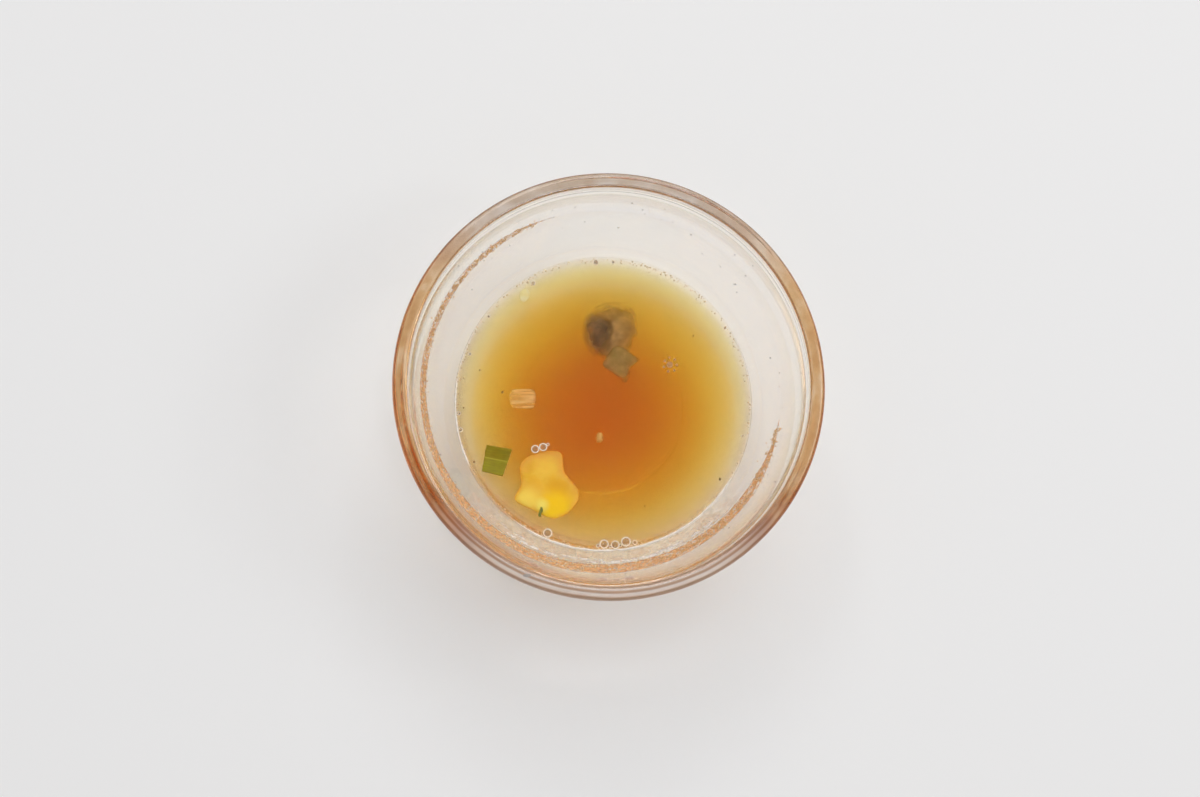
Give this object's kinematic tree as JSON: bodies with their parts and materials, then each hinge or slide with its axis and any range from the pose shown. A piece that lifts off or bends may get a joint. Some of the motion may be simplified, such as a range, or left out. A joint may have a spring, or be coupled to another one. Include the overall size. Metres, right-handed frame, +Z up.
{
  "type": "bowl of broth",
  "caption": "Small round clear glass bowl with a stacking collar, partly filled with cloudy amber broth on which a scallion leaf and a piece of egg float.",
  "frame": {"origin": "middle of the plane that the foot stands on", "axes": "+Z up through the middle of the bowl, +Y towards the top of the picture, +X to its right"},
  "size_m": [0.12, 0.12, 0.057],
  "materials": {
    "glass": "clear, polished",
    "broth": "cloudy amber liquid with a smooth wet surface",
    "egg": "soft and moist",
    "leaf": "waxy green leaf, wet"
  },
  "bodies": {
    "root": {"bowl": "glass", "broth": "broth", "egg_piece": "egg", "scallion_leaf": "leaf"}
  },
  "joints": []
}
